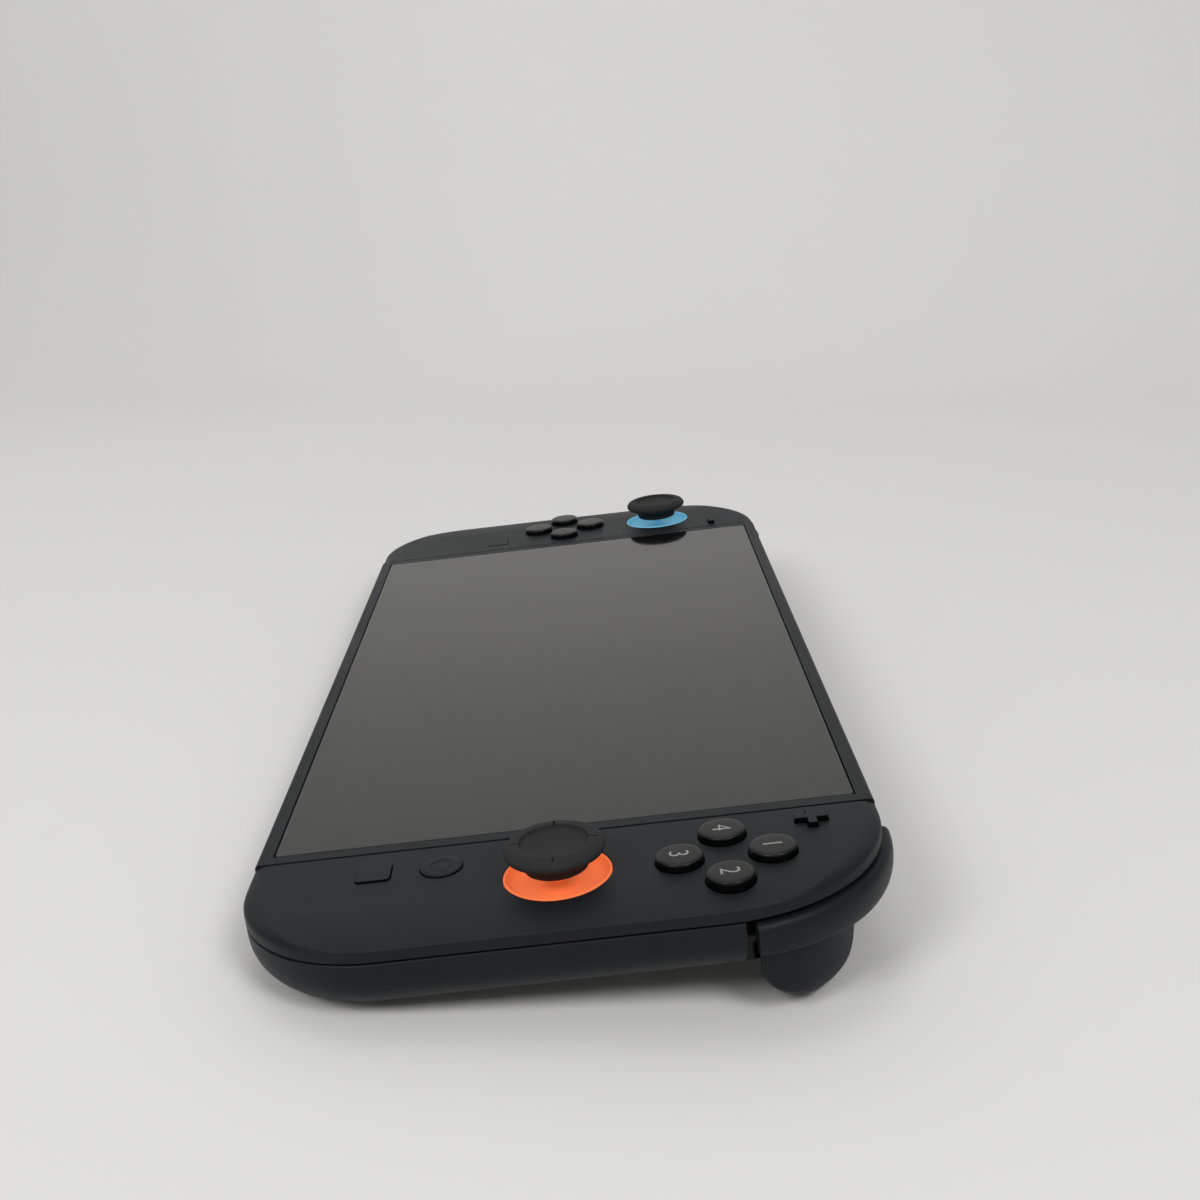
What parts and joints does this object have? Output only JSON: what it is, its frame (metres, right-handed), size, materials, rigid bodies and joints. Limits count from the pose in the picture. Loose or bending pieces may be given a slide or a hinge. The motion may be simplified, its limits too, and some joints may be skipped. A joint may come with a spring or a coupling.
{
  "type": "handheld game console",
  "caption": "Handheld game console: flat tablet with a glass screen, a fold-out stand and a detachable controller with stick, buttons, shoulder button and trigger at each end.",
  "frame": {"origin": "middle of the tablet's flat back", "axes": "+X along the length to the right controller, +Y to the top edge, +Z out of the screen"},
  "size_m": [0.272, 0.117, 0.0307],
  "materials": {
    "shell": "fine satin texture",
    "glass": "polished, dark",
    "panel": "unlit panel",
    "button": "semi-gloss",
    "stick_rubber": "matt",
    "orange": "satin",
    "light_blue": "satin",
    "dark_plastic": "moulded",
    "stand": "fine satin paint",
    "board": "solder mask",
    "silicone": "matt",
    "cell": "wrapped pouch",
    "steel": "bare",
    "copper": "bare copper"
  },
  "bodies": {
    "tablet": {"front_glass": "glass", "display_panel": "panel", "main_frame": "shell", "rear_cover": "shell", "main_board": "board", "heat_sink": "copper", "fan_housing": "dark_plastic", "battery_pack": "cell", "speakers": "dark_plastic", "usb_sockets": "steel", "audio_jack": "dark_plastic", "tablet_screws": "steel"},
    "kickstand": {"kickstand": "stand"},
    "fan_rotor": {"fan_rotor": "dark_plastic"},
    "power_button": {"power_button": "button"},
    "volume_rocker": {"volume_rocker": "button"},
    "card_door": {"card_door": "shell"},
    "right_controller": {"right_front_shell": "shell", "right_rear_shell": "shell", "right_side_plate": "orange", "right_stick_ring": "orange", "right_board": "board", "right_battery": "cell", "right_button_pad": "silicone"},
    "left_controller": {"left_front_shell": "shell", "left_rear_shell": "shell", "left_side_plate": "light_blue", "left_stick_ring": "light_blue", "left_board": "board", "left_battery": "cell", "left_button_pad": "silicone"},
    "face_button_east": {"face_button_east": "button"},
    "face_button_south": {"face_button_south": "button"},
    "face_button_north": {"face_button_north": "button"},
    "face_button_west": {"face_button_west": "button"},
    "plus_button": {"plus_button": "button"},
    "home_button": {"home_button": "button"},
    "chat_button": {"chat_button": "button"},
    "right_stick_yoke": {"right_stick_yoke": "steel"},
    "right_stick_shaft": {"right_stick_shaft": "orange"},
    "right_stick_cap": {"right_stick_cap": "stick_rubber"},
    "right_shoulder": {"right_shoulder": "shell"},
    "right_trigger": {"right_trigger": "shell"},
    "right_rail_button_upper": {"right_rail_button_upper": "steel"},
    "right_rail_button_lower": {"right_rail_button_lower": "steel"},
    "right_release_lever": {"right_release_lever": "button"},
    "direction_button_right": {"direction_button_right": "button"},
    "direction_button_down": {"direction_button_down": "button"},
    "direction_button_up": {"direction_button_up": "button"},
    "direction_button_left": {"direction_button_left": "button"},
    "minus_button": {"minus_button": "button"},
    "capture_button": {"capture_button": "button"},
    "left_stick_yoke": {"left_stick_yoke": "steel"},
    "left_stick_shaft": {"left_stick_shaft": "light_blue"},
    "left_stick_cap": {"left_stick_cap": "stick_rubber"},
    "left_shoulder": {"left_shoulder": "shell"},
    "left_trigger": {"left_trigger": "shell"},
    "left_rail_button_upper": {"left_rail_button_upper": "steel"},
    "left_rail_button_lower": {"left_rail_button_lower": "steel"},
    "left_release_lever": {"left_release_lever": "button"}
  },
  "joints": [
    {"name": "kickstand_swing", "type": "hinge", "parent": "tablet", "child": "kickstand", "pos_m": [0, 0.004, 0.00145], "axis": [1, 0, 0], "range_deg": [0, 150]},
    {"name": "fan_spin", "type": "hinge", "parent": "tablet", "child": "fan_rotor", "pos_m": [-0.01, 0.03, 0.0065], "axis": [0, 0, 1], "continuous": true},
    {"name": "power_press", "type": "slide", "parent": "tablet", "child": "power_button", "axis": [0, -1, 0], "range_m": [0, 0.0004], "stiffness_N_per_m": 20, "springref_m": -0.004},
    {"name": "volume_rock", "type": "hinge", "parent": "tablet", "child": "volume_rocker", "pos_m": [-0.064, 0.0555, 0.0064], "axis": [0, 0, 1], "range_deg": [-1.5, 1.5], "stiffness_Nm_per_rad": 0.002},
    {"name": "card_door_open", "type": "hinge", "parent": "tablet", "child": "card_door", "pos_m": [0.071, 0.05735, 0.0046], "axis": [-1, 0, 0], "range_deg": [0, 95]},
    {"name": "right_controller_undock", "type": "slide", "parent": "tablet", "child": "right_controller", "axis": [1, 0, 0], "range_m": [0, 0.03]},
    {"name": "face_button_east_press", "type": "slide", "parent": "right_controller", "child": "face_button_east", "axis": [0, 0, -1], "range_m": [0, 0.0007], "stiffness_N_per_m": 40, "springref_m": -0.003},
    {"name": "face_button_south_press", "type": "slide", "parent": "right_controller", "child": "face_button_south", "axis": [0, 0, -1], "range_m": [0, 0.0007], "stiffness_N_per_m": 40, "springref_m": -0.003},
    {"name": "face_button_north_press", "type": "slide", "parent": "right_controller", "child": "face_button_north", "axis": [0, 0, -1], "range_m": [0, 0.0007], "stiffness_N_per_m": 40, "springref_m": -0.003},
    {"name": "face_button_west_press", "type": "slide", "parent": "right_controller", "child": "face_button_west", "axis": [0, 0, -1], "range_m": [0, 0.0007], "stiffness_N_per_m": 40, "springref_m": -0.003},
    {"name": "plus_button_press", "type": "slide", "parent": "right_controller", "child": "plus_button", "axis": [0, 0, -1], "range_m": [0, 0.0005], "stiffness_N_per_m": 20, "springref_m": -0.004},
    {"name": "home_button_press", "type": "slide", "parent": "right_controller", "child": "home_button", "axis": [0, 0, -1], "range_m": [0, 0.0005], "stiffness_N_per_m": 20, "springref_m": -0.004},
    {"name": "chat_button_press", "type": "slide", "parent": "right_controller", "child": "chat_button", "axis": [0, 0, -1], "range_m": [0, 0.0005], "stiffness_N_per_m": 20, "springref_m": -0.004},
    {"name": "right_stick_tilt_y", "type": "hinge", "parent": "right_controller", "child": "right_stick_yoke", "pos_m": [0.1171, -0.0009, 0.007], "axis": [1, 0, 0], "range_deg": [-14, 14], "stiffness_Nm_per_rad": 0.005},
    {"name": "right_stick_tilt_x", "type": "hinge", "parent": "right_stick_yoke", "child": "right_stick_shaft", "pos_m": [0.1171, -0.0009, 0.007], "axis": [0, 1, 0], "range_deg": [-14, 14], "stiffness_Nm_per_rad": 0.005},
    {"name": "right_stick_click", "type": "slide", "parent": "right_stick_shaft", "child": "right_stick_cap", "axis": [0, 0, -1], "range_m": [0, 0.0004], "stiffness_N_per_m": 100, "springref_m": -0.002},
    {"name": "right_shoulder_press", "type": "slide", "parent": "right_controller", "child": "right_shoulder", "axis": [-0.6782, -0.7349, 0], "range_m": [0, 0.0008], "stiffness_N_per_m": 80, "springref_m": -0.003},
    {"name": "right_trigger_pull", "type": "hinge", "parent": "right_controller", "child": "right_trigger", "pos_m": [0.127, 0.04228, 0.0029], "axis": [-0.6672, 0.7449, 0], "range_deg": [0, 5], "stiffness_Nm_per_rad": 0.02, "springref_deg": -34.38},
    {"name": "right_rail_button_upper_press", "type": "slide", "parent": "right_controller", "child": "right_rail_button_upper", "axis": [1, 0, 0], "range_m": [0, 0.0005], "stiffness_N_per_m": 200, "springref_m": -0.002},
    {"name": "right_rail_button_lower_press", "type": "slide", "parent": "right_controller", "child": "right_rail_button_lower", "axis": [1, 0, 0], "range_m": [0, 0.0005], "stiffness_N_per_m": 200, "springref_m": -0.002},
    {"name": "right_release_lever_press", "type": "slide", "parent": "right_controller", "child": "right_release_lever", "axis": [0, 0, 1], "range_m": [0, 0.001], "stiffness_N_per_m": 30, "springref_m": -0.004},
    {"name": "left_controller_undock", "type": "slide", "parent": "tablet", "child": "left_controller", "axis": [-1, 0, 0], "range_m": [0, 0.03]},
    {"name": "direction_button_right_press", "type": "slide", "parent": "left_controller", "child": "direction_button_right", "axis": [0, 0, -1], "range_m": [0, 0.0007], "stiffness_N_per_m": 40, "springref_m": -0.003},
    {"name": "direction_button_down_press", "type": "slide", "parent": "left_controller", "child": "direction_button_down", "axis": [0, 0, -1], "range_m": [0, 0.0007], "stiffness_N_per_m": 40, "springref_m": -0.003},
    {"name": "direction_button_up_press", "type": "slide", "parent": "left_controller", "child": "direction_button_up", "axis": [0, 0, -1], "range_m": [0, 0.0007], "stiffness_N_per_m": 40, "springref_m": -0.003},
    {"name": "direction_button_left_press", "type": "slide", "parent": "left_controller", "child": "direction_button_left", "axis": [0, 0, -1], "range_m": [0, 0.0007], "stiffness_N_per_m": 40, "springref_m": -0.003},
    {"name": "minus_button_press", "type": "slide", "parent": "left_controller", "child": "minus_button", "axis": [0, 0, -1], "range_m": [0, 0.0005], "stiffness_N_per_m": 20, "springref_m": -0.004},
    {"name": "capture_button_press", "type": "slide", "parent": "left_controller", "child": "capture_button", "axis": [0, 0, -1], "range_m": [0, 0.0005], "stiffness_N_per_m": 20, "springref_m": -0.004},
    {"name": "left_stick_tilt_y", "type": "hinge", "parent": "left_controller", "child": "left_stick_yoke", "pos_m": [-0.1171, 0.0289, 0.007], "axis": [1, 0, 0], "range_deg": [-14, 14], "stiffness_Nm_per_rad": 0.005},
    {"name": "left_stick_tilt_x", "type": "hinge", "parent": "left_stick_yoke", "child": "left_stick_shaft", "pos_m": [-0.1171, 0.0289, 0.007], "axis": [0, 1, 0], "range_deg": [-14, 14], "stiffness_Nm_per_rad": 0.005},
    {"name": "left_stick_click", "type": "slide", "parent": "left_stick_shaft", "child": "left_stick_cap", "axis": [0, 0, -1], "range_m": [0, 0.0004], "stiffness_N_per_m": 100, "springref_m": -0.002},
    {"name": "left_shoulder_press", "type": "slide", "parent": "left_controller", "child": "left_shoulder", "axis": [0.6782, -0.7349, 0], "range_m": [0, 0.0008], "stiffness_N_per_m": 80, "springref_m": -0.003},
    {"name": "left_trigger_pull", "type": "hinge", "parent": "left_controller", "child": "left_trigger", "pos_m": [-0.127, 0.04228, 0.0029], "axis": [-0.6672, -0.7449, 0], "range_deg": [0, 5], "stiffness_Nm_per_rad": 0.02, "springref_deg": -34.38},
    {"name": "left_rail_button_upper_press", "type": "slide", "parent": "left_controller", "child": "left_rail_button_upper", "axis": [-1, 0, 0], "range_m": [0, 0.0005], "stiffness_N_per_m": 200, "springref_m": -0.002},
    {"name": "left_rail_button_lower_press", "type": "slide", "parent": "left_controller", "child": "left_rail_button_lower", "axis": [-1, 0, 0], "range_m": [0, 0.0005], "stiffness_N_per_m": 200, "springref_m": -0.002},
    {"name": "left_release_lever_press", "type": "slide", "parent": "left_controller", "child": "left_release_lever", "axis": [0, 0, 1], "range_m": [0, 0.001], "stiffness_N_per_m": 30, "springref_m": -0.004}
  ]
}
